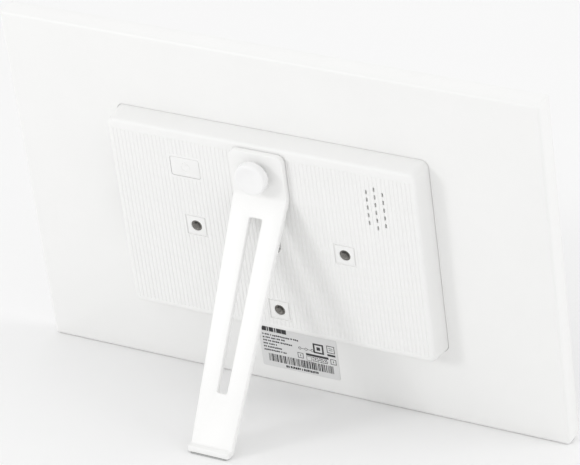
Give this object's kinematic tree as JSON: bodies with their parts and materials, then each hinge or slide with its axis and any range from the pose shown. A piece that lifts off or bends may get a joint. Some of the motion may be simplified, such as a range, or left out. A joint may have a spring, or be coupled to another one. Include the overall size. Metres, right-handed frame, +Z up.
{
  "type": "digital photo frame",
  "caption": "Free-standing digital photo frame: flat white panel with a touch screen, ribbed electronics box on its back, bent slotted stand leg held by a thumbscrew.",
  "frame": {"origin": "middle of the footprint's bounding box, on the table the frame stands on", "axes": "+X along the panel's width, +Y towards the back where the stand leg is, +Z up; the screen faces -Y and leans back"},
  "size_m": [0.267, 0.098, 0.1732],
  "materials": {
    "white_plastic": "fine satin, moulded",
    "black_glass": "polished, black behind",
    "clear_plastic": "clear acrylic",
    "white_film": "matte film",
    "black_plastic": "matte, moulded",
    "sheet_steel": "rolled sheet",
    "circuit_board": "solder mask",
    "flex_film": "polyimide film",
    "black_rubber": "matte",
    "grey_rubber": "matte",
    "label_paper": "printed, satin",
    "plated_brass": "nickel plated",
    "screw_steel": "zinc plated"
  },
  "bodies": {
    "case": {"rear_cover": "white_plastic", "front_bezel": "white_plastic", "rear_housing": "white_plastic", "rating_label": "label_paper", "touch_panel": "black_glass", "lcd_cell": "black_glass", "optical_films": "white_film", "light_guide": "clear_plastic", "backlight_strip": "white_film", "reflector_sheet": "white_film", "lcd_frame": "black_plastic", "lcd_chassis": "sheet_steel", "main_board": "circuit_board", "processor_shield": "sheet_steel", "memory_chip": "black_plastic", "display_connector": "white_film", "display_cable": "flex_film", "wifi_antenna": "flex_film", "speaker_lead": "black_rubber", "dc_jack": "black_plastic", "usb_port": "sheet_steel", "card_slot": "sheet_steel", "keyhole_cap": "white_plastic", "speaker": "black_plastic", "speaker_gasket": "black_rubber", "power_switch": "black_plastic", "insert_left": "plated_brass", "insert_right": "plated_brass", "insert_top": "plated_brass", "insert_bottom": "plated_brass", "board_screw_1": "screw_steel", "board_screw_2": "screw_steel", "board_screw_3": "screw_steel", "board_screw_4": "screw_steel", "housing_screw_1": "screw_steel", "housing_screw_2": "screw_steel", "housing_screw_3": "screw_steel", "housing_screw_4": "screw_steel"},
    "button": {"power_button": "white_plastic", "switch_plunger": "black_rubber"},
    "stand": {"stand_leg": "white_plastic", "foot_pad": "grey_rubber"},
    "thumbscrew": {"thumbscrew_stud": "screw_steel"},
    "knob": {"thumbscrew_knob": "white_plastic"}
  },
  "joints": [
    {"name": "power_button_press", "type": "slide", "parent": "case", "child": "button", "axis": [0, -0.972, 0.2351], "range_m": [0, 0.0005], "stiffness_N_per_m": 3000},
    {"name": "stand_swivel", "type": "hinge", "parent": "case", "child": "stand", "pos_m": [0, 0.00168, 0.11894], "axis": [0, 0.972, -0.2351], "continuous": true},
    {"name": "thumbscrew_travel", "type": "slide", "parent": "case", "child": "thumbscrew", "axis": [0, 0.972, -0.2351], "range_m": [0, 0.0021]},
    {"name": "thumbscrew_turn", "type": "hinge", "parent": "thumbscrew", "child": "knob", "pos_m": [0, 0.00139, 0.11901], "axis": [0, 0.972, -0.2351], "range_deg": [0, 1080]}
  ],
  "couplings": [
    {"joint": "thumbscrew_turn", "follows": "thumbscrew_travel", "rad_per_m": 8976}
  ]
}
